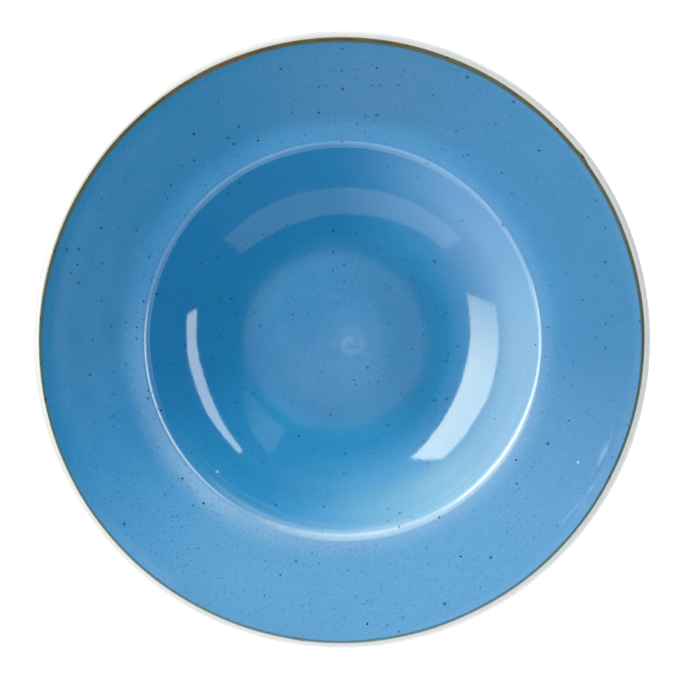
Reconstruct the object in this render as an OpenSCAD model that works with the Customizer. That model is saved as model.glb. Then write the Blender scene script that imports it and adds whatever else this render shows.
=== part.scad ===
// Rimmed soup plate: a turned stoneware body with its glaze coats, edge band and iron specks.
// The axis is Z, the plate stands on z = 0, and every section is drawn as radius against height.

/* [Plate] */
// Diameter over the glazed lip
plate_d = 280; // [252:1:308]
// Radius of the rolled lip, over its glaze
lip_r = 3; // [2.2:0.1:3.8]
// Slope of the rim, in degrees above level
rim_angle = 11; // [7:0.5:15]
// Extra slope that the rim gains where it turns up to the lip, in degrees
edge_lift = 7; // [3:0.5:10]
// Radius of the turned-up zone beside the lip
edge_lift_r = 50; // [35:1:65]

/* [Well] */
// Diameter of the well, where its crest meets the rim
well_d = 182; // [168:1:198]
// Depth of the well below that crest
well_depth = 27.5; // [22.5:0.5:31.5]
// Diameter of the level floor
floor_d = 68; // [56:1:80]
// Length of the straight stretch of wall below the crest
wall_straight = 14; // [8:1:20]
// Radius of the crest between well and rim
crest_r = 6; // [4:0.1:8]
// Extra slope that the rim has where it leaves the crest, in degrees
crest_ease = 8; // [3:0.5:12]
// Radius of the round zone that brings it down to the rim's own slope
crest_ease_r = 55; // [40:1:75]

/* [Wall] */
// Thickness of the clay in the floor and the wall of the well
wall_t = 4.6; // [3.6:0.1:5.6]
// Radius under the rim, where it meets the wall of the well
shoulder_r = 9; // [6:0.5:12]

/* [Foot ring] */
// Diameter along the middle of the foot ring
foot_d = 98; // [86:1:108]
// Width of the foot ring
foot_w = 5.4; // [4.2:0.1:6.6]
// Height of the foot ring below the clay floor
foot_h = 3.9; // [3.2:0.1:4.6]
// Rounding of the foot ring's two lower edges
foot_round = 0.9; // [0.5:0.1:1.2]
// Radius where the foot ring's outer side meets the wall
foot_fillet = 2.4; // [1.5:0.1:3.5]
// Radius where the foot ring's inner side meets the floor
recess_fillet = 1.4; // [0.8:0.1:1.8]

/* [Glaze] */
// Thickness of every glaze coat
glaze_t = 0.4; // [0.25:0.05:0.6]
// Height of the bare clay left at the foot
bare_h = 1.3; // [1.2:0.05:1.4]
// Turn of the lip that the brown edge band covers, in degrees
band_turn = 28; // [18:1:38]

/* [Iron specks] */
// How many large specks show in the blue glaze
speck_n = 72; // [20:1:120]
// Diameter of the smallest of them
speck_min_d = 0.55; // [0.4:0.05:0.7]
// Diameter of the largest of them
speck_max_d = 1.05; // [0.75:0.05:1.3]
// Seed that scatters them
speck_seed = 31; // [1:1:99]

/* [Smoothness] */
// Largest distance from a curve to the straight steps that stand for it
curve_gap = 0.012; // [0.008:0.002:0.03]

/* [Hidden] */
$fn = 96;

plate_r = plate_d / 2;
well_r = well_d / 2;
floor_r = floor_d / 2;
// Slopes at which the rim leaves the crest and reaches the lip
crest_angle = rim_angle + crest_ease;
lip_angle = rim_angle + edge_lift;

// Heights of the clay and glaze surfaces of the level floor
clay_floor_z = foot_h + wall_t;
floor_z = clay_floor_z + glaze_t;

// The wall of the well is a hollow arc, a straight stretch and the crest's round arc, each
// running into the next. Their sizes are over the glaze.
crest_c = [well_r, floor_z + well_depth] - crest_r * toward(crest_angle + 90);
crest_reach = crest_c.x - floor_r;
crest_rise = crest_c.y - floor_z;
hollow_r = (
    pow(crest_reach, 2) + pow(crest_rise, 2) - pow(crest_r, 2) - pow(wall_straight, 2)
) / (2 * (crest_rise + crest_r));
hollow_c = [floor_r, floor_z + hollow_r];
wall_angle = 90 + angle_of(crest_c - hollow_c) - atan2(wall_straight, hollow_r + crest_r);

// The rim eases away from the crest, runs straight to the turned-up zone and goes over the lip.
ease_c = [well_r, floor_z + well_depth] - crest_ease_r * toward(crest_angle + 90);
ease_end = ease_c + crest_ease_r * toward(rim_angle + 90);
lip_x = plate_r - lip_r;
lift_x = lip_x - (edge_lift_r + lip_r) * sin(lip_angle);
lift_start_x = lift_x + edge_lift_r * sin(rim_angle);
lift_start_z = ease_end.y + (lift_start_x - ease_end.x) * tan(rim_angle);
lift_c = [lift_x, lift_start_z + edge_lift_r * cos(rim_angle)];
lip_c = lift_c + (edge_lift_r + lip_r) * toward(lip_angle - 90);
lip_top_z = lip_c.y + lip_r;

// The underside: a shoulder that runs into the rim and into the wall, which follows the well.
back_r = hollow_r + wall_t + 2 * glaze_t;
rim_way = toward(rim_angle);
rim_under = toward(rim_angle - 90);
wall_under = toward(wall_angle - 90);
below_rim = lip_c + (lip_r + shoulder_r) * rim_under;
below_wall = back_r + shoulder_r - (below_rim - hollow_c) * wall_under;
shoulder_c = below_rim + below_wall / (rim_way * wall_under) * rim_way;

// The foot ring, in clay; the glaze on its two sides adds to its width.
foot_out_r = (foot_d + foot_w) / 2;
foot_in_r = (foot_d - foot_w) / 2;
fillet_x = foot_out_r + glaze_t + foot_fillet;
fillet_c = [
    fillet_x,
    hollow_c.y - sqrt(pow(back_r + foot_fillet, 2) - pow(fillet_x - floor_r, 2))
];
fillet_a = angle_of(hollow_c - fillet_c);
recess_c = [
    foot_in_r - glaze_t - recess_fillet,
    foot_h - glaze_t - recess_fillet
];

// The band starts where the lip does and ends at this angle on it.
band_start_a = 90 + lip_angle;
band_end_a = band_start_a - band_turn;
lip_end_a = rim_angle - 90;

// Specks lie within this radius of the axis, clear of the turned-up edge.
speck_zone_r = lift_start_x;
speck_radius_shares = rands(0, 1, speck_n, speck_seed);
speck_turn_shares = rands(0, 1, speck_n, speck_seed + 1);
speck_size_shares = rands(0, 1, speck_n, speck_seed + 2);
// A high power keeps most specks small.
speck_power = 3;

function toward(a) = [cos(a), sin(a)];
function angle_of(v) = atan2(v.y, v.x);
function reversed(points) = [for (i = [len(points) - 1:-1:0]) points[i]];

// Points of an arc of radius r + grow, in steps chosen for radius r alone, so that arcs
// with one centre stay in step with each other.
function arc(c, r, from, to, grow) =
    let (
        step = 2 * acos(1 - curve_gap / r),
        n = ceil(abs(to - from) / step)
    )
    [for (i = [0:n]) c + (r + grow) * toward(from + (to - from) * i / n)];

// A round arc swells and a hollow one tightens as glaze is laid on the clay. Radii are over the glaze.
function round_arc(c, r, from, to, coat) = arc(c, r, from, to, coat - glaze_t);
function hollow_arc(c, r, from, to, coat) = arc(c, r, from, to, glaze_t - coat);

// The upper face from the axis to the lip, with a coat of the given thickness over the clay.
function face_line(coat) = concat(
    [[0, clay_floor_z + coat]],
    hollow_arc(hollow_c, hollow_r, -90, wall_angle - 90, coat),
    round_arc(crest_c, crest_r, wall_angle + 90, crest_angle + 90, coat),
    round_arc(ease_c, crest_ease_r, crest_angle + 90, rim_angle + 90, coat),
    hollow_arc(lift_c, edge_lift_r, rim_angle - 90, lip_angle - 90, coat)
);

// The stretch of the lip that the edge band covers.
function band_line(coat) = round_arc(lip_c, lip_r, band_start_a, band_end_a, coat);

// The rest of the lip, the underside and the wall, as far as the foot ring's outer side.
function back_line(coat) = concat(
    round_arc(lip_c, lip_r, band_end_a, lip_end_a, coat),
    hollow_arc(shoulder_c, shoulder_r, rim_angle + 90, wall_angle + 90, coat),
    round_arc(hollow_c, back_r, wall_angle - 90, fillet_a - 180, coat),
    hollow_arc(fillet_c, foot_fillet, fillet_a, 180, coat),
    [[foot_out_r + coat, bare_h]]
);

// The bare clay of the foot ring, from its outer glaze line round to its inner one.
function foot_line() = concat(
    arc([foot_out_r - foot_round, foot_round], foot_round, 0, -90, 0),
    arc([foot_in_r + foot_round, foot_round], foot_round, -90, -180, 0)
);

// The foot ring's inner side and the ceiling of the recess that it encloses.
function recess_line(coat) = concat(
    [[foot_in_r - coat, bare_h]],
    hollow_arc(recess_c, recess_fillet, 0, 90, coat),
    [[0, foot_h - coat]]
);

// A coat of glaze: the strip between a line on the glaze and the same line on the clay.
module coat(glazed, bare) {
    rotate_extrude() polygon(concat(glazed, reversed(bare)));
}

module face_coat() {
    coat(face_line(glaze_t), face_line(0));
}

// Upright columns at the specks' places, tall enough to pass through the face at any height.
module speck_columns() {
    for (i = [0:speck_n - 1]) {
        place = speck_zone_r * sqrt(speck_radius_shares[i]);
        width = speck_min_d + (speck_max_d - speck_min_d) * pow(speck_size_shares[i], speck_power);
        rotate(360 * speck_turn_shares[i])
            translate([place, 0, clay_floor_z / 2])
                cylinder(d = width, h = lip_top_z);
    }
}

module clay_body() {
    color("#d9cfbd")
        rotate_extrude() polygon(concat(
            face_line(0), band_line(0), back_line(0), foot_line(), recess_line(0)
        ));
}

module face_glaze() {
    color("#2a80b8")
        difference() {
            face_coat();
            speck_columns();
        }
}

module edge_band() {
    color("#6b5a35")
        coat(band_line(glaze_t), band_line(0));
}

module back_glaze() {
    color("#e4e4dc")
        coat(back_line(glaze_t), back_line(0));
}

module foot_recess_glaze() {
    color("#e0e0d7")
        coat(recess_line(glaze_t), recess_line(0));
}

module iron_specks() {
    color("#10243a")
        intersection() {
            face_coat();
            speck_columns();
        }
}

clay_body();
face_glaze();
edge_band();
back_glaze();
foot_recess_glaze();
iron_specks();
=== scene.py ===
"""Rimmed soup plate: blue speckled glaze above, a brown line on the lip, off-white glaze below."""

import math
import random

import bmesh
import bpy
from mathutils import Matrix, Quaternion, Vector


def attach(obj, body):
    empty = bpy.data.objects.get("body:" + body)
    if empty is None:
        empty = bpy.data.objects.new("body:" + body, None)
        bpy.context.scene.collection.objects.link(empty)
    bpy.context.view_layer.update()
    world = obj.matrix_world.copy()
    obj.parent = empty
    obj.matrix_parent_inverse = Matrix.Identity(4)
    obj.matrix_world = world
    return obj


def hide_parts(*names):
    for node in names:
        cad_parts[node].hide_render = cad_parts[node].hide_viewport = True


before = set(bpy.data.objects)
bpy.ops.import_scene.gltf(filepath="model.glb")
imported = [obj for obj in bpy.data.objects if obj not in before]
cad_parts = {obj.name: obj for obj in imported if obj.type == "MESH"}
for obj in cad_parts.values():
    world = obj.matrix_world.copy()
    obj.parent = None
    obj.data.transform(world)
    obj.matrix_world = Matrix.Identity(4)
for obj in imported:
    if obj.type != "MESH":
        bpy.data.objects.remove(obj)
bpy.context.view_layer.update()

# One millimetre, in metres.
MM = 0.001

# Sizes in millimetres and angles in degrees, as the part has them.
PLATE_R = 140.0
LIP_R = 3.0
RIM_SLOPE = 11.0
EDGE_LIFT = 7.0
EDGE_LIFT_R = 50.0
WELL_R = 91.0
WELL_DEPTH = 27.5
FLOOR_R = 34.0
WALL_STRAIGHT = 14.0
CREST_R = 6.0
CREST_EASE = 8.0
CREST_EASE_R = 55.0
WALL_T = 4.6
SHOULDER_R = 9.0
FOOT_D = 98.0
FOOT_W = 5.4
FOOT_H = 3.9
FOOT_FILLET = 2.4
RECESS_FILLET = 1.4
GLAZE_T = 0.4
BARE_H = 1.3

# Steps round the plate in the mesh of each coat, and rows of the back coat's mesh on the lip.
AROUND = 360
LIP_ROWS = 30


def sin(a):
    return math.sin(math.radians(a))


def cos(a):
    return math.cos(math.radians(a))


def toward(a):
    return Vector((cos(a), sin(a)))


def direction(round_a, down_a):
    """The way from the plate toward an angle round it and an angle from overhead."""
    return Vector((sin(down_a) * cos(round_a), sin(down_a) * sin(round_a), cos(down_a)))


def angle_of(v):
    return math.degrees(math.atan2(v.y, v.x))


def ease(low, high, x):
    """0 below low and 1 above high, with a smooth change between."""
    t = min(1.0, max(0.0, (x - low) / (high - low)))
    return t * t * (3 - 2 * t)


def bump_at(centre, half, a):
    """1 at an angle round the plate, falling smoothly to 0 at half degrees to either side."""
    away = abs((a - centre + 180) % 360 - 180)
    return 1 - ease(0, half, away)


# The section of the plate, as radius and height over the glaze.
CREST_SLOPE = RIM_SLOPE + CREST_EASE
LIP_SLOPE = RIM_SLOPE + EDGE_LIFT
FLOOR_Z = FOOT_H + WALL_T + GLAZE_T
CREST_C = Vector((WELL_R, FLOOR_Z + WELL_DEPTH)) - CREST_R * toward(CREST_SLOPE + 90)
reach = CREST_C.x - FLOOR_R
rise = CREST_C.y - FLOOR_Z
HOLLOW_R = (reach**2 + rise**2 - CREST_R**2 - WALL_STRAIGHT**2) / (2 * (rise + CREST_R))
HOLLOW_C = Vector((FLOOR_R, FLOOR_Z + HOLLOW_R))
wall_turn = math.degrees(math.atan2(WALL_STRAIGHT, HOLLOW_R + CREST_R))
WALL_SLOPE = 90 + angle_of(CREST_C - HOLLOW_C) - wall_turn
WALL_WAY = toward(WALL_SLOPE)
WALL_UNDER = toward(WALL_SLOPE - 90)
EASE_C = Vector((WELL_R, FLOOR_Z + WELL_DEPTH)) - CREST_EASE_R * toward(CREST_SLOPE + 90)
EASE_END = EASE_C + CREST_EASE_R * toward(RIM_SLOPE + 90)
LIFT_X = PLATE_R - LIP_R - (EDGE_LIFT_R + LIP_R) * sin(LIP_SLOPE)
LIFT_START_X = LIFT_X + EDGE_LIFT_R * sin(RIM_SLOPE)
LIFT_START_Z = EASE_END.y + (LIFT_START_X - EASE_END.x) * sin(RIM_SLOPE) / cos(RIM_SLOPE)
LIFT_C = Vector((LIFT_X, LIFT_START_Z + EDGE_LIFT_R * cos(RIM_SLOPE)))
LIP_C = LIFT_C + (EDGE_LIFT_R + LIP_R) * toward(LIP_SLOPE - 90)
BACK_R = HOLLOW_R + WALL_T + 2 * GLAZE_T
RIM_WAY = toward(RIM_SLOPE)
below_rim = LIP_C + (LIP_R + SHOULDER_R) * toward(RIM_SLOPE - 90)
below_wall = BACK_R + SHOULDER_R - (below_rim - HOLLOW_C).dot(WALL_UNDER)
SHOULDER_C = below_rim + below_wall / RIM_WAY.dot(WALL_UNDER) * RIM_WAY
FOOT_OUT_R = (FOOT_D + FOOT_W) / 2
FOOT_IN_R = (FOOT_D - FOOT_W) / 2
fillet_x = FOOT_OUT_R + GLAZE_T + FOOT_FILLET
fillet_z = HOLLOW_C.y - math.sqrt((BACK_R + FOOT_FILLET) ** 2 - (fillet_x - FLOOR_R) ** 2)
FILLET_C = Vector((fillet_x, fillet_z))
FILLET_A = angle_of(HOLLOW_C - FILLET_C)
RECESS_C = Vector((FOOT_IN_R - GLAZE_T - RECESS_FILLET, FOOT_H - GLAZE_T - RECESS_FILLET))

# Radii at which the upper face goes from one arc to the next.
HOLLOW_END_X = HOLLOW_C.x + HOLLOW_R * sin(WALL_SLOPE)
CREST_IN_X = CREST_C.x - CREST_R * sin(WALL_SLOPE)
LIP_TOP_X = LIP_C.x - LIP_R * sin(LIP_SLOPE)


def upper(x):
    """The point and the outward normal of the upper face at radius x, as far as the lip's outer side."""
    if x <= FLOOR_R:
        return Vector((x, FLOOR_Z)), Vector((0, 1))
    if x <= HOLLOW_END_X:
        n = Vector((FLOOR_R - x, math.sqrt(HOLLOW_R**2 - (x - FLOOR_R) ** 2))) / HOLLOW_R
        return HOLLOW_C - HOLLOW_R * n, n
    if x <= CREST_IN_X:
        along = (x - HOLLOW_END_X) / WALL_WAY.x
        return HOLLOW_C + HOLLOW_R * WALL_UNDER + along * WALL_WAY, -WALL_UNDER
    if x <= WELL_R:
        n = Vector((x - CREST_C.x, math.sqrt(CREST_R**2 - (x - CREST_C.x) ** 2))) / CREST_R
        return CREST_C + CREST_R * n, n
    if x <= EASE_END.x:
        n = Vector((x - EASE_C.x, math.sqrt(CREST_EASE_R**2 - (x - EASE_C.x) ** 2))) / CREST_EASE_R
        return EASE_C + CREST_EASE_R * n, n
    if x <= LIFT_START_X:
        along = (x - EASE_END.x) * sin(RIM_SLOPE) / cos(RIM_SLOPE)
        return Vector((x, EASE_END.y + along)), toward(RIM_SLOPE + 90)
    if x <= LIP_TOP_X:
        n = Vector((LIFT_C.x - x, math.sqrt(EDGE_LIFT_R**2 - (x - LIFT_C.x) ** 2))) / EDGE_LIFT_R
        return LIFT_C - EDGE_LIFT_R * n, n
    n = Vector((x - LIP_C.x, math.sqrt(max(0.0, LIP_R**2 - (x - LIP_C.x) ** 2)))) / LIP_R
    return LIP_C + LIP_R * n, n


def on_arc(centre, radius, a, hollow=False):
    """A point of an arc and the normal there, which points to the centre of a hollow arc."""
    out = toward(a)
    return centre + radius * out, -out if hollow else out


def spread(low, high, n):
    return [low + (high - low) * i / n for i in range(n + 1)]


def thinned(items, step):
    """The first of every few items, and the last item."""
    kept = items[::step]
    return kept if kept[-1] == items[-1] else kept + items[-1:]


def wave(x, pitch, turned=0.0):
    """A wave along a radius, which starts turned by an angle in radians."""
    return math.sin(2 * math.pi * x / pitch + turned)


def waves(x, pitch, depth, start, end, turned=0.0):
    """Waves that come in over one pair of radii and go out over another."""
    return depth * ease(*start, x) * (1 - ease(*end, x)) * wave(x, pitch, turned)


# The middle of the swirl that throwing left, a little off the axis.
MIDDLE = Vector((2.9, -1.0))

# Small unevenness of the coats: radii, pitches and depths along the normal, in millimetres.
SPIRAL_R = 7.5
SPIRAL_DEPTH = 0.05
NUB_R = 3.2
NUB_DEPTH = 0.10
WALL_RINGS_R = 85.0
WALL_RINGS_HALF = 3.2
WALL_RINGS_PITCH = 1.5
WALL_RINGS_DEPTH = 0.013
SWAY_PITCH = 15.0
SWAY_DEPTH = 0.012
FLOOR_RINGS_PITCH = 5.3
FLOOR_RINGS_DEPTH = 0.006
TURNING_PITCH = 4.1
TURNING_DEPTH = 0.012
RECESS_PITCH = 6.5
RECESS_DEPTH = 0.02


def throwing(x, a):
    """What throwing left on the face at radius x and angle a."""
    off = x * toward(a) - MIDDLE
    spiral = SPIRAL_DEPTH * math.exp(-((off.length / SPIRAL_R) ** 2))
    spiral *= math.sin(1.25 * off.length - math.radians(angle_of(off)))
    nub = NUB_DEPTH * math.exp(-((off.length / NUB_R) ** 2))
    beside = x - WALL_RINGS_R
    close = 1 - ease(0, WALL_RINGS_HALF, abs(beside))
    wall_rings = WALL_RINGS_DEPTH * close * wave(beside, WALL_RINGS_PITCH)
    wall_rings *= 0.55 + 0.45 * cos(a - 200) + 0.2 * cos(3 * a + 40)
    sway = waves(x, SWAY_PITCH, SWAY_DEPTH, (100, 112), (122, 131), 0.6 * cos(a))
    floor_rings = waves(x, FLOOR_RINGS_PITCH, FLOOR_RINGS_DEPTH, (10, 16), (38, 46))
    return spiral + nub + wall_rings + sway + floor_rings


def face_point(x, a):
    """The glazed face at radius x and angle a round the plate, with its unevenness."""
    p, n = upper(x)
    return p + n * throwing(x, a), n


# The brown line on the lip: the least radius of its middle, its least width, and the angle of its kink.
LINE_R = 136.0
LINE_W = 0.95
KINK_A = 37.0


def line_width(a):
    """The line is widest at the back."""
    weight = LINE_W + 1.10 * bump_at(90, 140, a) - 0.08 * bump_at(212, 30, a)
    nick = 0.3 * bump_at(KINK_A, 2, a) + 0.35 * bump_at(262, 2.5, a)
    return weight + nick + 0.05 * sin(5 * a + 30) + 0.04 * sin(13 * a + 5) + 0.03 * sin(29 * a)


def line_outer(a):
    """Radius of the line's outer side. The line lies further out in front than at the back."""
    turn = (a - 90) % 360 + 90
    front = 1.2 * ease(150, 215, turn) * (1 - ease(250, 400, turn))
    places = 0.45 * bump_at(355, 70, a) + 0.28 * bump_at(210, 45, a) - 0.33 * bump_at(135, 30, a)
    kink = 0.40 * bump_at(KINK_A, 2.2, a)
    sway = 0.08 * sin(3 * a + 20) + 0.04 * sin(8 * a + 75) + 0.03 * sin(19 * a + 10)
    return LINE_R + front + places + kink + sway + line_width(a) / 2


# The piece that carries the line reaches this far past both of its sides, where it meets its neighbours.
LINE_SIDE = 0.45


def band_inner(a):
    return line_outer(a) - line_width(a) - LINE_SIDE


def band_outer(a):
    return line_outer(a) + LINE_SIDE


def lip_angle_at(x):
    """The angle on the lip at which its upper side has radius x."""
    return math.degrees(math.acos((x - LIP_C.x) / LIP_R))


class Shell:
    """A closed coat turned round the axis, from rows of glaze points and the matching clay points."""

    def __init__(self, name):
        self.name = name
        self.mesh = bmesh.new()
        self.rings = []
        self.across = self.mesh.verts.layers.float.new("across_mm")
        self.half = self.mesh.verts.layers.float.new("half_mm")

    def ring(self, point):
        """Adds a ring. point takes an angle and gives a point of the section and the line's two values."""
        ring = []
        on_axis = point(0)[0].x < 1e-6
        for i in range(1 if on_axis else AROUND):
            a = 360 * i / AROUND
            p, across, half = point(a)
            v = self.mesh.verts.new((p.x * cos(a) * MM, p.x * sin(a) * MM, p.y * MM))
            v[self.across] = across
            v[self.half] = half
            ring.append(v)
        self.rings.append(ring)

    def close(self):
        """Joins each ring to the next and, where the ends aren't on the axis, the last to the first."""
        pairs = list(zip(self.rings, self.rings[1:]))
        if len(self.rings[0]) > 1:
            pairs.append((self.rings[-1], self.rings[0]))
        for first, second in pairs:
            n = max(len(first), len(second))
            for i in range(n):
                corners = [first[i % len(first)], second[i % len(second)]]
                corners += [second[(i + 1) % len(second)], first[(i + 1) % len(first)]]
                face = []
                for v in corners:
                    if v not in face:
                        face.append(v)
                if len(face) > 2:
                    self.mesh.faces.new(face)
        bmesh.ops.recalc_face_normals(self.mesh, faces=self.mesh.faces)
        return finished(self.name, self.mesh)


def finished(name, made, sharp=50):
    """Turns a bmesh into a smooth-shaded piece, with its real corners kept sharp."""
    data = bpy.data.meshes.new(name)
    made.to_mesh(data)
    made.free()
    piece = bpy.data.objects.new(name, data)
    bpy.context.scene.collection.objects.link(piece)
    data.shade_smooth()
    data.set_sharp_from_angle(angle=math.radians(sharp))
    return piece


def bare(p, n):
    return p - GLAZE_T * n


# Radii at which the rows of the face's mesh change. They lie closest in the swirl and on the crest, and
# beyond the last of these radii they bend toward the line.
SWIRL_ROWS_R = 14.0
WALL_ROWS_R = 80.0
RIM_ROWS_R = 100.0
BEND_R = 131.0


def face_rows():
    rows = spread(0, SWIRL_ROWS_R, 20) + spread(SWIRL_ROWS_R + 2, FLOOR_R, 9)
    rows += spread(FLOOR_R + 2, WALL_ROWS_R, 22) + spread(WALL_ROWS_R + 0.6, CREST_IN_X, 24)
    rows += [CREST_C.x - CREST_R * sin(s) for s in spread(WALL_SLOPE - 2, CREST_SLOPE, 24)]
    rows += [EASE_C.x - CREST_EASE_R * sin(s) for s in spread(CREST_SLOPE - 1, RIM_SLOPE, 8)]
    return rows + spread(RIM_ROWS_R, BEND_R, 14)


def make_face():
    """The blue coat, from the axis to the brown line."""
    shell = Shell("blue_face_glaze")
    rows = face_rows()
    shares = spread(0, 1, 12)[1:]

    def glazed(x, a):
        return face_point(x, a)[0], 0.0, 0.0

    def toward_line(share, a):
        return BEND_R + (band_inner(a) - BEND_R) * share

    for x in rows:
        shell.ring(lambda a, x=x: glazed(x, a))
    for s in shares:
        shell.ring(lambda a, s=s: glazed(toward_line(s, a), a))
    for s in reversed(shares[3::4]):
        shell.ring(lambda a, s=s: (bare(*upper(toward_line(s, a))), 0.0, 0.0))
    for x in reversed(thinned(rows, 3)):
        shell.ring(lambda a, x=x: (bare(*upper(x)), 0.0, 0.0))
    return shell.close()


def make_band():
    """The strip of the lip that carries the brown line."""
    shell = Shell("brown_edge_band")

    def place(share, a):
        x = band_inner(a) + (band_outer(a) - band_inner(a)) * share
        half = line_width(a) / 2
        return x, x - (line_outer(a) - half), half

    def glazed(share, a):
        x, across, half = place(share, a)
        return upper(x)[0], across, half

    def clay(share, a):
        x, across, half = place(share, a)
        return bare(*upper(x)), across, half

    for s in spread(0, 1, 14):
        shell.ring(lambda a, s=s: glazed(s, a))
    for s in reversed(spread(0, 1, 4)):
        shell.ring(lambda a, s=s: clay(s, a))
    return shell.close()


def back_section(start_r):
    """Points and normals of the underside, from the brown line round the lip to the foot ring."""
    start = lip_angle_at(start_r)
    points = [on_arc(LIP_C, LIP_R, a) for a in spread(start, RIM_SLOPE - 90, LIP_ROWS)]
    first, n = points[-1]
    start_x = SHOULDER_C.x + SHOULDER_R * toward(RIM_SLOPE + 90).x
    slope = sin(RIM_SLOPE) / cos(RIM_SLOPE)
    for x in spread(first.x, start_x, 14)[1:-1]:
        points.append((Vector((x, first.y - (first.x - x) * slope)), n))
    shoulder = spread(RIM_SLOPE + 90, WALL_SLOPE + 90, 16)
    points += [on_arc(SHOULDER_C, SHOULDER_R, a, True) for a in shoulder]
    wall_top = points[-1][0]
    wall_low = HOLLOW_C + BACK_R * WALL_UNDER
    points += [(wall_top.lerp(wall_low, s), WALL_UNDER) for s in spread(0, 1, 6)[1:-1]]
    points += [on_arc(HOLLOW_C, BACK_R, a) for a in spread(WALL_SLOPE - 90, FILLET_A - 180, 26)]
    points += [on_arc(FILLET_C, FOOT_FILLET, a, True) for a in spread(FILLET_A, 180, 12)[1:]]
    points.append((Vector((FOOT_OUT_R + GLAZE_T, BARE_H)), Vector((1, 0))))
    return points


def make_back():
    """The off-white coat, from the brown line over the lip and under the rim to the foot."""
    shell = Shell("off_white_back_glaze")
    angles = [360 * i / AROUND for i in range(AROUND)]
    sections = {a: back_section(band_outer(a)) for a in angles}
    count = len(sections[0.0])

    def glazed(i, a):
        p, n = sections[a][i]
        marks = waves(p.x, TURNING_PITCH, TURNING_DEPTH, (56, 62), (120, 128), sin(9 * p.x))
        return p + n * (marks if i > LIP_ROWS else 0.0), 0.0, 0.0

    for i in range(count):
        shell.ring(lambda a, i=i: glazed(i, a))
    for i in reversed(thinned(list(range(count)), 2)):
        shell.ring(lambda a, i=i: (bare(*sections[a][i]), 0.0, 0.0))
    return shell.close()


def make_recess():
    """The off-white coat inside the foot ring."""
    shell = Shell("off_white_recess_glaze")
    points = [(Vector((FOOT_IN_R - GLAZE_T, BARE_H)), Vector((-1, 0)))]
    points += [on_arc(RECESS_C, RECESS_FILLET, a, True) for a in spread(0, 90, 12)]
    points += [(Vector((x, FOOT_H - GLAZE_T)), Vector((0, -1))) for x in spread(RECESS_C.x - 2.5, 0, 14)]

    def glazed(p, n):
        swirl = RECESS_DEPTH * wave(p.x, RECESS_PITCH) * (1 - ease(34, 40, p.x))
        return p + n * swirl, 0.0, 0.0

    for p, n in points:
        shell.ring(lambda a, p=p, n=n: glazed(p, n))
    for p, n in reversed(points):
        shell.ring(lambda a, p=p, n=n: (bare(p, n), 0.0, 0.0))
    return shell.close()


def speck_places():
    """Centre and width, in millimetres, of each iron speck of the part."""
    copy = bmesh.new()
    copy.from_mesh(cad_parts["iron_specks"].data)
    bmesh.ops.remove_doubles(copy, verts=copy.verts, dist=1e-6)
    left = set(copy.verts)
    places = []
    while left:
        group = set()
        edge = {left.pop()}
        while edge:
            v = edge.pop()
            group.add(v)
            near = {e.other_vert(v) for e in v.link_edges} & left
            left -= near
            edge |= near
        xs = [v.co.x / MM for v in group]
        ys = [v.co.y / MM for v in group]
        centre = ((min(xs) + max(xs)) / 2, (min(ys) + max(ys)) / 2)
        places.append((*centre, max(xs) - min(xs)))
    copy.free()
    return sorted(places)


# The lens that stands for a speck: its reach as a share of the speck's width, its heights over the face
# in millimetres, and how many points a ring of it has.
SPECK_REACH = 0.62
SPECK_EDGE_Z = 0.012
SPECK_CROWN_Z = 0.032
SPECK_BASE_Z = -0.25
SPECK_ROOT_Z = -0.28
SPECK_SPOKES = 18


class Speck:
    """One iron speck, as an uneven lens that is dark at its core."""

    def __init__(self, made, core, chance, place):
        self.made = made
        self.core = core
        self.x, self.y, self.width = place
        self.turn = chance.uniform(0, 360)
        self.stretch = chance.uniform(0.78, 1.0)
        self.wobble = [chance.uniform(0, 360) for _ in range(2)]

    def vertex(self, share, i, height, layer):
        a = 360 * i / SPECK_SPOKES
        out = 1 + 0.13 * sin(2 * a + self.wobble[0]) + 0.08 * sin(3 * a + self.wobble[1])
        r = share * out * self.width * SPECK_REACH
        dx = r * cos(a)
        dy = r * sin(a) * self.stretch
        x = self.x + dx * cos(self.turn) - dy * sin(self.turn)
        y = self.y + dx * sin(self.turn) + dy * cos(self.turn)
        round_a = math.degrees(math.atan2(y, x)) % 360
        p, n = face_point(math.hypot(x, y), round_a)
        p = p + n * height
        v = self.made.verts.new((p.x * cos(round_a) * MM, p.x * sin(round_a) * MM, p.y * MM))
        v[self.core] = layer
        return v

    def ring(self, share, height, layer):
        return [self.vertex(share, i, height, layer) for i in range(SPECK_SPOKES)]

    def build(self):
        crown = SPECK_CROWN_Z - SPECK_EDGE_Z
        rings = [self.ring(s, SPECK_EDGE_Z + crown * (1 - s * s), 1 - s) for s in (0.35, 0.7, 1.0)]
        rings += [self.ring(s, SPECK_BASE_Z, 0.0) for s in (0.9, 0.4)]
        top = self.vertex(0, 0, SPECK_CROWN_Z, 1.0)
        root = self.vertex(0, 0, SPECK_ROOT_Z, 0.0)
        for first, second in zip(rings, rings[1:]):
            for i in range(SPECK_SPOKES):
                j = (i + 1) % SPECK_SPOKES
                self.made.faces.new((first[i], second[i], second[j], first[j]))
        for ring, end in ((rings[0], top), (rings[-1], root)):
            for i in range(SPECK_SPOKES):
                self.made.faces.new((ring[i], ring[(i + 1) % SPECK_SPOKES], end))


def make_specks():
    """The larger iron specks, in the face of the glaze."""
    made = bmesh.new()
    core = made.verts.layers.float.new("core")
    chance = random.Random(5)
    for place in speck_places():
        Speck(made, core, chance, place).build()
    bmesh.ops.recalc_face_normals(made, faces=made.faces)
    return finished("iron_specks_in_glaze", made, 60)


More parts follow.
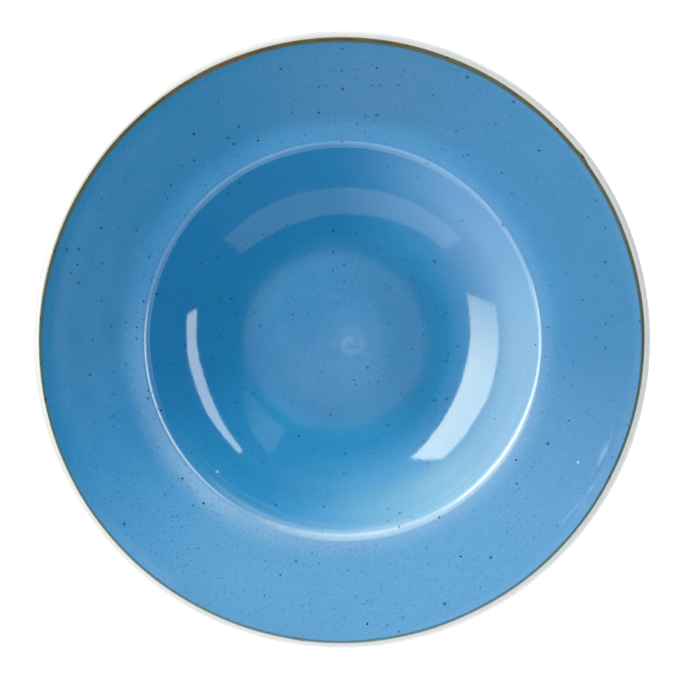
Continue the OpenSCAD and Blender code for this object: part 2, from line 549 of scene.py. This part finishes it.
class Flow:
    """An output of a node. Sums written with it add the Math nodes that work them out."""

    def __init__(self, paint, socket):
        self.paint = paint
        self.socket = socket

    def __add__(self, other):
        return self.paint.maths("ADD", self, other)

    def __radd__(self, other):
        return self.paint.maths("ADD", other, self)

    def __sub__(self, other):
        return self.paint.maths("SUBTRACT", self, other)

    def __rsub__(self, other):
        return self.paint.maths("SUBTRACT", other, self)

    def __mul__(self, other):
        return self.paint.maths("MULTIPLY", self, other)

    def __rmul__(self, other):
        return self.paint.maths("MULTIPLY", other, self)

    def __truediv__(self, other):
        return self.paint.maths("DIVIDE", self, other)

    def __pow__(self, other):
        return self.paint.maths("POWER", self, other)

    def __abs__(self):
        return self.paint.maths("ABSOLUTE", self)


# Places of a Mix node's colour sockets in its lists of inputs and outputs.
MIX_FIRST = 6
MIX_SECOND = 7
MIX_RESULT = 2


class Paint:
    """The nodes of one material, of a lamp or of the world."""

    def __init__(self, owner):
        owner.use_nodes = True
        self.owner = owner
        self.tree = owner.node_tree
        self.tree.nodes.clear()

    def node(self, kind, settings=None, inputs=None):
        """Adds a node of a type, with its settings first and then its sockets' values or links."""
        made = self.tree.nodes.new(kind)
        for name, value in (settings or {}).items():
            setattr(made, name, value)
        for name, value in (inputs or {}).items():
            if isinstance(value, Flow):
                self.tree.links.new(value.socket, made.inputs[name])
            else:
                made.inputs[name].default_value = value
        return made

    def out(self, made, name=0):
        return Flow(self, made.outputs[name])

    def maths(self, operation, *values):
        return self.out(self.node("ShaderNodeMath", {"operation": operation}, dict(enumerate(values))))

    def step(self, value, low, high, start=0.0, end=1.0):
        """start below low and end above high, with a smooth change between."""
        values = {0: value, 1: low, 2: high, 3: start, 4: end}
        return self.out(self.node("ShaderNodeMapRange", {"interpolation_type": "SMOOTHSTEP"}, values))

    def slide(self, value, low, high):
        """0 below low and 1 above high, with a steady change between."""
        return self.out(self.node("ShaderNodeMapRange", None, {0: value, 1: low, 2: high}))

    def mix(self, share, first, second):
        """Mixes two colours."""
        inputs = {0: share, MIX_FIRST: first, MIX_SECOND: second}
        return self.out(self.node("ShaderNodeMix", {"data_type": "RGBA"}, inputs), MIX_RESULT)

    def vector(self, operation, *values):
        made = self.node("ShaderNodeVectorMath", {"operation": operation}, dict(enumerate(values)))
        gives_number = operation in ("LENGTH", "DOT_PRODUCT", "DISTANCE")
        return self.out(made, "Value" if gives_number else "Vector")

    def joined(self, x, y, z):
        return self.out(self.node("ShaderNodeCombineXYZ", None, {0: x, 1: y, 2: z}))

    def noise(self, place, scale, detail=2.0, rough=0.5):
        inputs = {"Vector": place, "Scale": scale, "Detail": detail, "Roughness": rough}
        return self.out(self.node("ShaderNodeTexNoise", {"noise_dimensions": "3D"}, inputs))

    def cells(self, place, scale, flat=True):
        """Distance to the nearest scattered point, and two chance values of that point's own."""
        settings = {"voronoi_dimensions": "2D" if flat else "3D", "feature": "F1"}
        made = self.node("ShaderNodeTexVoronoi", settings, {"Vector": place, "Scale": scale})
        parts = self.node("ShaderNodeSeparateColor", None, {0: self.out(made, "Color")})
        return self.out(made, "Distance"), self.out(parts, 0), self.out(parts, 1)

    def attribute(self, name):
        return self.out(self.node("ShaderNodeAttribute", {"attribute_name": name}), "Fac")

    def bump(self, height, distance):
        inputs = {"Height": height, "Distance": distance, "Strength": 1.0}
        return self.out(self.node("ShaderNodeBump", None, inputs))

    def finish(self, values):
        """Ends in a Principled shader with these sockets."""
        shader = self.node("ShaderNodeBsdfPrincipled", None, values)
        self.node("ShaderNodeOutputMaterial", None, {0: self.out(shader)})
        return self.owner


def new_paint(name):
    return Paint(bpy.data.materials.new(name))


def colour(r, g, b):
    return (r, g, b, 1.0)


class Places:
    """Places on the part for one finish, in millimetres, with masks by radius and by side of the plate."""

    def __init__(self, paint):
        self.paint = paint
        in_metres = paint.out(paint.node("ShaderNodeTexCoord"), "Object")
        self.place = paint.vector("MULTIPLY", in_metres, (1 / MM, 1 / MM, 1 / MM))
        parts = paint.node("ShaderNodeSeparateXYZ", None, {0: self.place})
        self.x, self.y, self.z = (paint.out(parts, i) for i in range(3))
        self.flat = paint.joined(self.x, self.y, 0.0)
        self.radius = paint.vector("LENGTH", self.flat)
        way = paint.node("ShaderNodeSeparateXYZ", None, {0: paint.vector("NORMALIZE", self.flat)})
        self.way_x = paint.out(way, 0)
        self.way_y = paint.out(way, 1)

    def facing(self, a):
        """The cosine of the turn from a place to an angle round the plate."""
        return self.way_x * cos(a) + self.way_y * sin(a)

    def side(self, a, low, high):
        """1 toward an angle round the plate and 0 away from it, from two cosines of the turn to it."""
        return self.paint.step(self.facing(a), low, high)

    def outside(self, low, high):
        """0 within the lesser radius and 1 beyond the greater one."""
        return self.paint.step(self.radius, low, high)

    def inside(self, low, high):
        """1 within the lesser radius and 0 beyond the greater one."""
        return self.paint.step(self.radius, low, high, 1.0, 0.0)

    def near_point(self, radius, a):
        """Distance to the point at a radius and an angle."""
        return self.paint.vector("DISTANCE", self.flat, (radius * cos(a), radius * sin(a), 0.0))

    def noise(self, scale, detail=2.0, rough=0.5):
        return self.paint.noise(self.place, scale, detail, rough)

    def ring_noise(self, round_scale, ring_scale, detail=3.0, rough=0.6):
        """Noise that changes slowly round the plate and faster from ring to ring."""
        x = self.way_x * round_scale
        y = self.way_y * round_scale
        return self.paint.noise(self.paint.joined(x, y, self.radius * ring_scale), 1.0, detail, rough)


GLAZE_IOR = 1.8
THIN_GLAZE_IOR = 1.6

BLUE = colour(0.012, 0.196, 0.450)
BLUE_DEEP = colour(0.007, 0.174, 0.420)
BLUE_PALE = colour(0.042, 0.226, 0.470)
# Pale thin glaze, also used for painted sheen and light.
BLUE_THIN_AND_SHEEN = colour(0.315, 0.500, 0.740)
# Painted shade.
BLUE_SHADED = colour(0.006, 0.137, 0.315)
# Painted light.
BLUE_LIT = colour(0.030, 0.328, 0.670)
# The clay through thin glaze, also used for painted highlight.
BLUE_BARE_AND_HIGHLIGHT = colour(0.430, 0.620, 0.800)
BLUE_FOAM = colour(0.320, 0.550, 0.570)
BLUE_SEA = colour(0.080, 0.320, 0.400)
NAVY = colour(0.003, 0.050, 0.160)
IRON = colour(0.003, 0.018, 0.055)
OLIVE = colour(0.092, 0.098, 0.050)
OLIVE_DARK = colour(0.042, 0.095, 0.098)
BROWN = colour(0.105, 0.078, 0.042)
UMBER = colour(0.040, 0.038, 0.022)
RUST = colour(0.140, 0.068, 0.034)
TAN = colour(0.260, 0.235, 0.140)
OFF_WHITE = colour(0.535, 0.550, 0.570)
OFF_WHITE_GREY = colour(0.510, 0.530, 0.550)
OFF_WHITE_WARM = colour(0.540, 0.530, 0.480)
OFF_WHITE_THIN = colour(0.470, 0.390, 0.280)
WARM_SPECK = colour(0.200, 0.150, 0.100)
GREY_SPECK = colour(0.070, 0.055, 0.045)
BUFF = colour(0.600, 0.495, 0.365)
BUFF_DARK = colour(0.440, 0.340, 0.235)
BUFF_WARM = colour(0.500, 0.360, 0.230)
CLAY_SPECK = colour(0.100, 0.060, 0.035)

# The radii, in millimetres, between which the wall of the well gives way to the rim.
WALL_END = (89.0, 91.0)
RIM_START = (89.5, 91.5)
UNDER_CREST_END = (88.5, 90.5)

# Heights, in metres, of the slight relief that the glaze and the bare clay have.
GLAZE_RELIEF = 0.00022
CLAY_RELIEF = 0.00012

# Two pale pinholes in the blue coat.
PINHOLES = ((-57.0, -60.0), (107.4, -55.9))


def dotted(at, base, dark, cell, chance, fade, strength, flat=False):
    """Scatters even dots over a colour, with one chance for each cell.

    cell is in millimetres, as are the two radii of fade between which a dot ends. strength is that of
    the faintest dot and what the darkest has more.
    """
    paint = at.paint
    distance, lot, size = paint.cells(at.flat if flat else at.place, 1 / cell, flat)
    dot = paint.step(distance * cell, *fade, 1.0, 0.0) * paint.step(lot, chance - 0.02, chance, 1.0, 0.0)
    return paint.mix(dot * (strength[0] + strength[1] * size), base, dark)


def speckled(at, base, dark, cell, chance, radii, strength):
    """Scatters soft dots over a colour, most of them near the lesser of two radii in millimetres."""
    paint = at.paint
    least, greatest = radii
    distance, lot, size = paint.cells(at.flat, 1 / cell)
    radius = (least + (greatest - least) * size ** 3.0) / cell
    dot = paint.step(distance / radius, 0.25, 1.25, 1.0, 0.0)
    return paint.mix(dot * paint.step(lot, chance - 0.02, chance, 1.0, 0.0) * strength, base, dark)


class BlueZones:
    """Masks that several parts of the blue finish share."""

    def __init__(self, at):
        self.on_wall = at.outside(52, 70) * at.inside(*WALL_END)
        self.on_rim = at.outside(*RIM_START)
        self.right = at.side(35, 0.0, 0.9)
        self.near_front = at.side(285, -0.1, 0.8)
        self.crest_front = at.side(295, 0.50, 0.92)
        self.streak = at.paint.step(at.ring_noise(1.5, 0.75), 0.42, 0.75)


def mottled_blue(at):
    """The glaze's own blue, with soft mottling and faint rings."""
    paint = at.paint
    base = paint.mix(paint.step(at.noise(0.022, 3.0, 0.55), 0.35, 0.66), BLUE_DEEP, BLUE)
    base = paint.mix(paint.step(at.ring_noise(1.1, 0.16), 0.48, 0.78) * 0.30, base, BLUE_PALE)
    return paint.mix(paint.step(at.noise(0.16, 3.0, 0.6), 0.45, 0.85) * 0.16, base, BLUE_PALE)


def shaded_places(at, base):
    """Darker blue on the left side, in the well and on the rim, and in parts of the right side: painted
    shade.
    """
    left_wall = at.outside(35, 48) * at.inside(86, 92) * at.side(130, 0.2, 0.85)
    left_rim = at.outside(92, 106) * at.side(130, 0.2, 0.75)
    right_floor = at.outside(12, 30) * at.inside(41, 50) * at.side(20, 0.0, 0.9)
    right_edge = at.outside(92, 112) * at.side(45, 0.2, 0.9)
    weight = 0.60 * left_wall + 0.85 * left_rim + 0.45 * right_floor + 0.52 * right_edge
    return at.paint.mix(weight, base, BLUE_SHADED)


def lit_places(at, zones, base):
    """Painted light: brighter down the front of the well's wall, in streaks, at its right front, and on
    the front of the rim.
    """
    painted_light = 0.48 * at.outside(28, 47) + 0.14 * at.outside(72, 80) + 0.12 * zones.streak * zones.on_wall
    painted_light = painted_light * at.inside(*WALL_END) * at.side(258, 0.4, 1.0)
    painted_light = painted_light + 0.12 * zones.on_wall * at.side(335, 0.2, 0.9)
    painted_light = painted_light + 0.5 * zones.on_rim * at.side(270, 0.3, 0.95)
    return at.paint.mix(painted_light, base, BLUE_LIT)


def thin_and_sheen_places(at, zones, base):
    """Paler on the rim, most of all beside the crest, and under the front of the crest: painted sheen and
    light, partly thinner glaze beside the crest.
    """
    paint = at.paint
    rim = 0.31 * at.side(281, 0.1, 0.95) + 0.14 * zones.right + 0.045 * at.side(145, 0.0, 0.8)
    beside_crest = at.inside(91.5, 102.0) * (0.10 + 0.09 * zones.near_front - 0.06 * zones.right)
    beside_left = 0.20 * at.inside(90.5, 104.0) * at.side(212, 0.6, 0.97)
    under_crest = at.outside(80.0, 87.5) * at.inside(*UNDER_CREST_END) * at.side(285, 0.1, 0.8)
    front_floor = at.outside(6, 20) * at.inside(26, 38) * at.side(245, -0.2, 0.9)
    # A painted highlight, streaked along the rim near the lip at the right front.
    smear_highlight = paint.step(abs(at.radius - 131.0), 0.5, 4.0, 1.0, 0.0) * at.side(333, cos(15), cos(5))
    smear_highlight = smear_highlight * paint.step(at.ring_noise(9.0, 0.5, 2.0, 0.5), 0.45, 0.8)
    thin = zones.on_rim * (rim + beside_crest + beside_left)
    thin = thin + under_crest * (0.08 + 0.30 * zones.streak) + 0.065 * front_floor + 0.5 * smear_highlight
    return paint.mix(paint.maths("MINIMUM", thin, 1.0), base, BLUE_THIN_AND_SHEEN)


def green_places(at, base):
    """The front right of the wall is greener, and paler towards the crest."""
    paint = at.paint
    sea = at.outside(64, 76) * at.inside(*WALL_END) * at.side(293, 0.86, 1.0)
    base = paint.mix(0.34 * sea, base, BLUE_SEA)
    foam = at.outside(66, 76) * at.inside(*WALL_END) * at.side(336, 0.6, 1.0)
    return paint.mix(0.14 * foam, base, BLUE_FOAM)


def crest_line(at, zones, base):
    """Along the crest the clay shows through as a pale line, widest in front, which carries painted
    highlight in front and at the lower left.
    """
    paint = at.paint
    patchy = 0.6 + 0.8 * at.ring_noise(2.2, 0.1, 2.0, 0.5)
    # A painted glow just inside the crest at the front.
    painted_glow = at.outside(85.0, 87.6) * at.inside(*UNDER_CREST_END) * at.side(260, 0.8, 0.98)
    ridge_r = 89.5 + 0.4 * zones.near_front + 0.6 * at.side(325, 0.6, 0.98)
    half = 0.3 + 0.5 * zones.crest_front
    fade = 1.0 + 0.6 * zones.crest_front
    ridge = 1 - paint.step(abs(at.radius - ridge_r), half, half + fade)
    # At the back a fainter strand wanders beside it, and at the lower left a sharp painted highlight lies
    # on it.
    strand_r = 88.0 + 1.8 * (at.ring_noise(1.3, 0.0, 2.0, 0.5) - 0.5)
    strand = paint.step(abs(at.radius - strand_r), 0.1, 0.7, 1.0, 0.0) * at.side(125, 0.0, 0.5)
    sharp = paint.step(abs(at.radius - 89.8), 0.15, 0.65, 1.0, 0.0) * at.side(208, 0.80, 0.93)
    show = ridge * (0.27 + 0.50 * zones.crest_front) + 0.19 * strand
    show = show * patchy + 0.28 * painted_glow + 0.42 * sharp
    return paint.mix(paint.maths("MINIMUM", show, 1.0), base, BLUE_BARE_AND_HIGHLIGHT)


def pale_swirl(at, base):
    """A pale swirl marks the middle of the well."""
    paint = at.paint
    off_x = at.x - MIDDLE.x
    off_y = at.y - MIDDLE.y
    off = paint.vector("LENGTH", paint.joined(off_x, off_y, 0.0))
    turn = paint.maths("ARCTAN2", off_y, off_x)
    swirl = paint.maths("SINE", off * 1.05 - turn + 3.2 * at.noise(0.14))
    fade = 1 - paint.step(off, 1.0, 9.5)
    base = paint.mix(fade * (0.17 + 0.09 * swirl), base, BLUE_THIN_AND_SHEEN)
    return paint.mix(paint.step(off, 5.0, 24.0, 0.09, 0.0), base, BLUE_THIN_AND_SHEEN)


def blue_specks(at, zones, base):
    """Fine specks, crowded together in places and on the front of the rim, and the two pinholes."""
    paint = at.paint
    crowd = paint.step(at.noise(0.030), 0.40, 0.62)
    front_rim = zones.on_rim * at.side(265, 0.2, 0.9)
    few = 1 - 0.3 * zones.on_wall - 0.35 * at.side(345, 0.2, 0.8) * at.outside(50, 70)
    small = few * (0.17 + 0.14 * crowd + 0.24 * front_rim)
    middling = few * (0.07 + 0.10 * crowd)
    large = few * (0.03 + 0.10 * crowd)
    base = paint.mix(paint.step(at.noise(1.5, 2.0, 0.7), 0.35, 0.75) * 0.24, base, NAVY)
    base = speckled(at, base, NAVY, 3.0, small, (0.44, 0.84), 0.24)
    base = speckled(at, base, NAVY, 3.5, middling, (0.44, 0.82), 0.42)
    base = speckled(at, base, IRON, 5.2, large, (0.54, 0.98), 0.80)
    for x, y in PINHOLES:
        pinhole = paint.step(paint.vector("DISTANCE", at.flat, (x, y, 0.0)), 0.35, 0.75, 0.9, 0.0)
        base = paint.mix(pinhole, base, OFF_WHITE)
    return base


def blue_colour(at):
    """The blue glaze, from its own colour through painted light and shade to the specks in it."""
    zones = BlueZones(at)
    base = shaded_places(at, mottled_blue(at))
    base = lit_places(at, zones, base)
    base = thin_and_sheen_places(at, zones, base)
    base = green_places(at, base)
    base = crest_line(at, zones, base)
    base = pale_swirl(at, base)
    return blue_specks(at, zones, base)


def white_colour(at):
    """The off-white glaze, faintly greyed, with fine brown and grey specks."""
    paint = at.paint
    base = paint.mix(paint.step(at.noise(0.03, 3.0, 0.55), 0.3, 0.7), OFF_WHITE_GREY, OFF_WHITE)
    base = paint.mix(paint.step(at.ring_noise(1.4, 0.22), 0.5, 0.8) * 0.35, base, OFF_WHITE_WARM)
    base = dotted(at, base, WARM_SPECK, 3.0, 0.32, (0.14, 0.30), (0.30, 0.35))
    return dotted(at, base, GREY_SPECK, 8.0, 0.36, (0.30, 0.52), (0.45, 0.40))


def wavy(at):
    """The slight waviness of a glossy coat."""
    slow = at.noise(0.045, 1.0)
    quick = at.noise(0.35)
    return at.paint.bump(slow * 0.9 + quick * 0.06, GLAZE_RELIEF)


def glazed(at, base, roughness, ior):
    """Ends a glossy finish."""
    return at.paint.finish({"Base Color": base, "Roughness": roughness, "IOR": ior, "Normal": wavy(at)})


def blue_finish():
    at = Places(new_paint("blue_glaze"))
    return glazed(at, blue_colour(at), 0.045 + 0.05 * at.noise(0.2, 3.0), GLAZE_IOR)


def speck_finish():
    """Iron at the core of a speck, which thins out to the glaze's own blue."""
    at = Places(new_paint("iron_speck"))
    core = at.paint.step(at.paint.attribute("core") + 0.12 * at.noise(2.2), 0.08, 0.36)
    return glazed(at, at.paint.mix(core, blue_colour(at), IRON), 0.07 + 0.16 * core, GLAZE_IOR)


def white_finish():
    """The off-white glaze, which draws back to a thin warm edge above the bare foot."""
    at = Places(new_paint("off_white_glaze"))
    near_foot = at.paint.step(at.z, BARE_H, BARE_H + 1.0, 1.0, 0.0)
    base = at.paint.mix(near_foot * 0.65, white_colour(at), OFF_WHITE_THIN)
    return glazed(at, base, 0.06 + 0.06 * at.noise(0.2, 3.0), THIN_GLAZE_IOR)


# Rust along the line: angle round the plate, reach in millimetres and strength.
RUST_PLACES = ((109.6, 7.0, 0.85), (113.5, 6.0, 0.5), (117.5, 5.0, 0.6), (KINK_A, 3.0, 0.9))

# Dark spots on the line: angle round the plate and radius.
SPOTS = ((KINK_A, 137.3), (122.5, 136.9), (126.4, 136.8), (131.6, 136.8), (159.4, 137.3), (191.5, 137.4))


def line_colour(at, across):
    """Olive, bluer on the inner side and in front, browner at the back, with a dark core."""
    paint = at.paint
    olive = paint.mix(at.side(88, -0.25, 0.95), OLIVE_DARK, OLIVE)
    olive = paint.mix(paint.step(at.noise(0.25), 0.52, 0.75) * 0.5, olive, OLIVE_DARK)
    olive = paint.mix(paint.step(across, -0.7, 0.1, 0.6, 0.0), olive, OLIVE_DARK)
    olive = paint.mix(paint.step(across, -0.2, 0.5) * at.side(105, 0.75, 1.0), olive, BROWN)
    core = paint.step(abs(across - 0.1), 0.10, 0.70, 1.0, 0.0) * at.side(65, -0.4, 0.6)
    return paint.mix(core * paint.step(at.noise(0.12), 0.38, 0.62, 0.22, 0.80), olive, UMBER)


def rusted(at, base):
    """Rust, drops and dark spots on the line."""
    paint = at.paint
    ragged = 5 * (at.noise(0.3) - 0.5)
    rust = sum(
        paint.step(at.near_point(LINE_R, a) + ragged, 0.0, reach, strength, 0.0)
        for a, reach, strength in RUST_PLACES
    )
    base = paint.mix(paint.maths("MINIMUM", rust, 1.0), base, RUST)
    base = dotted(at, base, IRON, 6.0, 0.36, (0.35, 0.75), (0.5, 0.4), flat=True)
    for a, radius in SPOTS:
        base = paint.mix(paint.step(at.near_point(radius, a), 0.4, 1.2, 0.85, 0.0), base, IRON)
    return base


def brown_finish():
    """Blue, then the olive-brown line, then off-white with a tan fringe, across the lip."""
    paint = new_paint("brown_edge_glaze")
    at = Places(paint)
    across = paint.attribute("across_mm")
    half = paint.attribute("half_mm")
    ragged = (at.noise(0.9, 3.0, 0.6) - 0.5) * 0.34
    fringe = paint.step(across - half, -0.05, 0.42, 0.65, 0.0) * at.side(60, -0.5, 0.5)
    outer = paint.mix(fringe, white_colour(at), TAN)
    beyond = paint.mix(paint.step(across, -0.05, 0.05), blue_colour(at), outer)
    # The line is softer on its inner side and fainter in front.
    soft = paint.step(across, -0.4, 0.4, 0.45, 0.32)
    line = paint.step(abs(across) - half + ragged, -0.17, soft, 1.0, 0.0)
    line = line * (1 - 0.20 * at.side(265, 0.3, 0.9))
    olive = rusted(at, line_colour(at, across))
    return glazed(at, paint.mix(line, beyond, olive), 0.07 + 0.12 * line, THIN_GLAZE_IOR)


def clay_finish():
    """Bare fired stoneware: buff, gritty and matte."""
    paint = new_paint("bare_stoneware")
    at = Places(paint)
    grain = at.noise(2.6, 4.0, 0.65)
    base = paint.mix(paint.step(grain, 0.3, 0.7), BUFF_DARK, BUFF)
    base = paint.mix(paint.step(at.noise(0.06, 3.0), 0.4, 0.7) * 0.45, base, BUFF_WARM)
    base = dotted(at, base, CLAY_SPECK, 1.6, 0.30, (0.10, 0.28), (0.4, 0.5))
    scuff = at.ring_noise(3.0, 1.6, 3.0, 0.5)
    grit = paint.bump(grain * 0.7 + scuff * 0.3, CLAY_RELIEF)
    return paint.finish({"Base Color": base, "Roughness": 0.78 + 0.14 * grain, "Normal": grit})


def wear(piece, material, node):
    """Gives a piece its finish and puts it in the place of its solid."""
    piece.data.materials.clear()
    piece.data.materials.append(material)
    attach(piece, "root")
    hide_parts(node)


white = white_finish()
wear(make_face(), blue_finish(), "face_glaze")
wear(make_band(), brown_finish(), "edge_band")
wear(make_back(), white, "back_glaze")
wear(make_recess(), white, "foot_recess_glaze")
wear(make_specks(), speck_finish(), "iron_specks")

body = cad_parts["clay_body"]
body.data.materials.clear()
body.data.materials.append(clay_finish())

# The studio floor, in metres: its radius, that of its opening under the foot, and how far it lies below.
STUDIO_R = 3.5
STUDIO_HOLE_R = (FOOT_D / 2 + 1.8) * MM
STUDIO_DROP = 0.05 * MM

# Degrees from one corner of the floor to the next.
STUDIO_STEP = 4

# The floor's own glow and its paleness, to the camera, and its paleness to all else.
FLOOR_GLOW = 0.76
FLOOR_SHOWN = 0.34
FLOOR_SENT = 0.80


def floor_finish():
    """White to the camera, with the plate's soft shadow on it, and clear from below."""
    paint = new_paint("studio_white")

    def matt(level):
        return paint.out(paint.node("ShaderNodeBsdfDiffuse", None, {"Color": colour(level, level, level)}))

    def mixed(share, first, second):
        return paint.out(paint.node("ShaderNodeMixShader", None, {0: share, 1: first, 2: second}))

    own = colour(FLOOR_GLOW, FLOOR_GLOW, FLOOR_GLOW)
    glow = paint.out(paint.node("ShaderNodeEmission", None, {"Color": own}))
    bright = paint.out(paint.node("ShaderNodeAddShader", None, {0: matt(FLOOR_SHOWN), 1: glow}))
    camera_sees = paint.out(paint.node("ShaderNodeLightPath"), "Is Camera Ray")
    clear = paint.out(paint.node("ShaderNodeBsdfTransparent"))
    from_below = paint.out(paint.node("ShaderNodeNewGeometry"), "Backfacing")
    sided = mixed(from_below, mixed(camera_sees, matt(FLOOR_SENT), bright), clear)
    paint.node("ShaderNodeOutputMaterial", None, {0: sided})
    return paint.owner


def lay_floor():
    """A wide floor, open under the foot so that the underside can be seen and lit."""
    made = bmesh.new()
    edges = []
    for r in (STUDIO_HOLE_R, STUDIO_R):
        edges.append([made.verts.new((r * cos(a), r * sin(a), 0)) for a in range(0, 360, STUDIO_STEP)])
    inner, outer = edges
    for i in range(len(inner)):
        made.faces.new((inner[i - 1], outer[i - 1], outer[i], inner[i]))
    floor = finished("studio_floor", made)
    floor.location.z = -STUDIO_DROP
    floor.data.materials.append(floor_finish())


# The light that comes from every side of the room.
ROOM_LEVEL = 0.06


class Sky(Paint):
    """The room round the plate, as light from each direction."""

    def __init__(self, world):
        super().__init__(world)
        self.way = self.out(self.node("ShaderNodeTexCoord"), "Generated")
        parts = self.node("ShaderNodeSeparateXYZ", None, {0: self.way})
        self.x, self.y, self.z = (self.out(parts, i) for i in range(3))
        self.flat = self.maths("SQRT", self.x * self.x + self.y * self.y + 1e-6)
        self.down = self.maths("ARCCOSINE", self.z) * math.degrees(1)

    def facing(self, round_a):
        """The cosine of the turn from a direction to an angle round the plate."""
        return (self.x * cos(round_a) + self.y * sin(round_a)) / self.flat

    def lobe(self, round_a, down_a, edge, middle, strength):
        """Light from round a direction, which fades out between two angles from it."""
        near = self.vector("DOT_PRODUCT", self.way, direction(round_a, down_a))
        return self.step(near, cos(edge), cos(middle), 0.0, strength)

    def ceiling(self):
        """A dim light overhead, a wider and fainter one round it, and one a little to the left."""
        overhead = self.lobe(10, 5.0, 16.0, 7.4, 0.34) + self.lobe(15, 1.5, 25, 12, 0.06)
        return overhead + self.lobe(190, 12, 32, 10, 0.11)

    def white_wall(self):
        """A wall at the left, brightest at its foot."""
        return 2.6 * self.slide(self.down, 25, 92) * self.step(self.facing(168), cos(111), 1.0)

    def window(self):
        """A dim window over the front, whose upper edge sinks towards its ends."""
        middle = self.facing(279)
        above = self.down - 21.3 * (1 - middle)
        below = self.down + 9.9 * (middle - 0.7)
        pane = self.step(self.facing(269), cos(51.1), cos(49.5)) * self.step(above, 38.6, 40.2)
        level = 0.46 + self.step(self.facing(224), 0.6, 1.0, 0.0, 0.25)
        return pane * self.step(below, 64.4, 66.4, 1.0, 0.0) * level

    def wedge(self):
        """A faint wedge of light at the right."""
        turn = self.maths("ARCTAN2", self.y, self.x) * math.degrees(1)
        sides = self.step(turn, 20, 58) * self.step(turn, 60, 62, 1.0, 0.0)
        lower = self.step(self.down - 0.62 * turn, 10, 13, 1.0, 0.0)
        return 0.45 * sides * self.step(self.down, 21, 27) * lower


def light_room():
    """Fills the world with the room's light, plain white to the camera."""
    world = bpy.data.worlds.new("studio")
    bpy.context.scene.world = world
    sky = Sky(world)
    light = ROOM_LEVEL + sky.ceiling() + sky.white_wall() + sky.window() + sky.wedge()
    camera_sees = sky.out(sky.node("ShaderNodeLightPath"), "Is Camera Ray")
    strength = camera_sees + (1 - camera_sees) * light
    shine = sky.node("ShaderNodeBackground", None, {"Color": colour(1, 1, 1), "Strength": strength})
    sky.node("ShaderNodeOutputWorld", None, {0: sky.out(shine)})


# The lamps face this height over the table, in metres.
LAMP_AIM_Z = 0.03


def softbox(
    name, round_a, down_a, away, size, radiance,
    mirrored=True, roll=0, end=1.0, side=1.0, tip=1.0, heel=0.0, tint=1.0,
):
    """A rectangular lamp that faces the plate, with its brightness as a mirror would show it.

    round_a and down_a say where it stands, away is its distance in metres, and roll turns it, in degrees.
    end and side are the shares of its brightness that are left at one end and along one long side.
    tip is the share of its width that is left at that end, heel the share that one long side loses at
    the other end, and tint is the share of its blue.
    """
    data = bpy.data.lights.new(name, "AREA")
    data.shape = "RECTANGLE"
    data.size, data.size_y = size
    data.energy = radiance * math.pi * size[0] * size[1]
    lamp = bpy.data.objects.new(name, data)
    place = direction(round_a, down_a) * away
    turned = (-place).to_track_quat("-Z", "Y") @ Quaternion((0, 0, 1), math.radians(roll))
    stand = Matrix.Translation(place + Vector((0, 0, LAMP_AIM_Z)))
    lamp.matrix_world = stand @ turned.to_matrix().to_4x4()
    lamp.visible_camera = False
    lamp.visible_glossy = mirrored
    bpy.context.scene.collection.objects.link(lamp)
    glow = Paint(data)
    lit = glow.node("ShaderNodeSeparateXYZ", None, {0: glow.out(glow.node("ShaderNodeTexCoord"), "UV")})
    along = glow.out(lit, 0)
    over = glow.out(lit, 1)
    level = glow.step(along, 0.5, 1.1, 1.0, end) * glow.step(over, 0.0, 1.0, side, 1.0)
    if heel > 0.0:
        level = level * glow.step(over - heel * glow.slide(along, 0.45, 0.0), 0.0, 0.10)
    if tip < 1.0:
        width = 0.5 - (0.5 - 0.5 * tip) * glow.slide(along, 0.65, 1.0)
        level = level * glow.step(abs(over - 0.5) - width, -0.03, 0.02, 1.0, 0.0)
    shine = glow.node("ShaderNodeEmission", None, {"Color": glow.joined(level, level, level * tint)})
    glow.node("ShaderNodeOutputLight", None, {0: glow.out(shine)})


lay_floor()
light_room()

# Two lamps for the windows at the left and the right.
softbox(
    "left_softbox", round_a=159.8, down_a=54.2, away=1.1, size=(1.165, 0.55), radiance=5.7,
    roll=3.4, end=0.35, side=0.7, heel=0.17, tint=0.77,
)
softbox(
    "right_softbox", round_a=20.6, down_a=57.6, away=1.1, size=(1.06, 0.185), radiance=3.8,
    tip=0.45,
)

# Two fills that the glaze doesn't mirror, low at the back and at the front.
softbox("back_fill", round_a=75, down_a=60, away=1.2, size=(1.0, 0.5), radiance=4.5, mirrored=False)
softbox("front_fill", round_a=295, down_a=72, away=1.2, size=(1.0, 0.5), radiance=8.6, mirrored=False)

# The camera looks almost straight down, from a little to the lower right. Pixels are the photograph's.
PHOTO_PX = 680
PLATE_PX = 617
AIM_PX = (-1.31, -0.79)
TILT = 2.5
TILT_SIDE = -33
DISTANCE = 3.0
SENSOR_MM = 36


def stand_camera():
    field = PLATE_R * 2 * MM / PLATE_PX * PHOTO_PX
    aim = Vector((AIM_PX[0] / PHOTO_PX * field, AIM_PX[1] / PHOTO_PX * field, LIP_C.y * MM))
    back = direction(TILT_SIDE, TILT)
    right = Vector((0, 1, 0)).cross(back).normalized()
    turned = Matrix((right, back.cross(right), back)).transposed()
    lens = bpy.data.cameras.new("camera")
    lens.sensor_width = SENSOR_MM
    lens.lens = SENSOR_MM * DISTANCE / field
    lens.clip_start = 0.1
    lens.clip_end = 20
    camera = bpy.data.objects.new("camera", lens)
    camera.matrix_world = Matrix.Translation(aim + back * DISTANCE) @ turned.to_4x4()
    bpy.context.scene.collection.objects.link(camera)
    bpy.context.scene.camera = camera


stand_camera()
bpy.context.scene.view_settings.view_transform = "Standard"
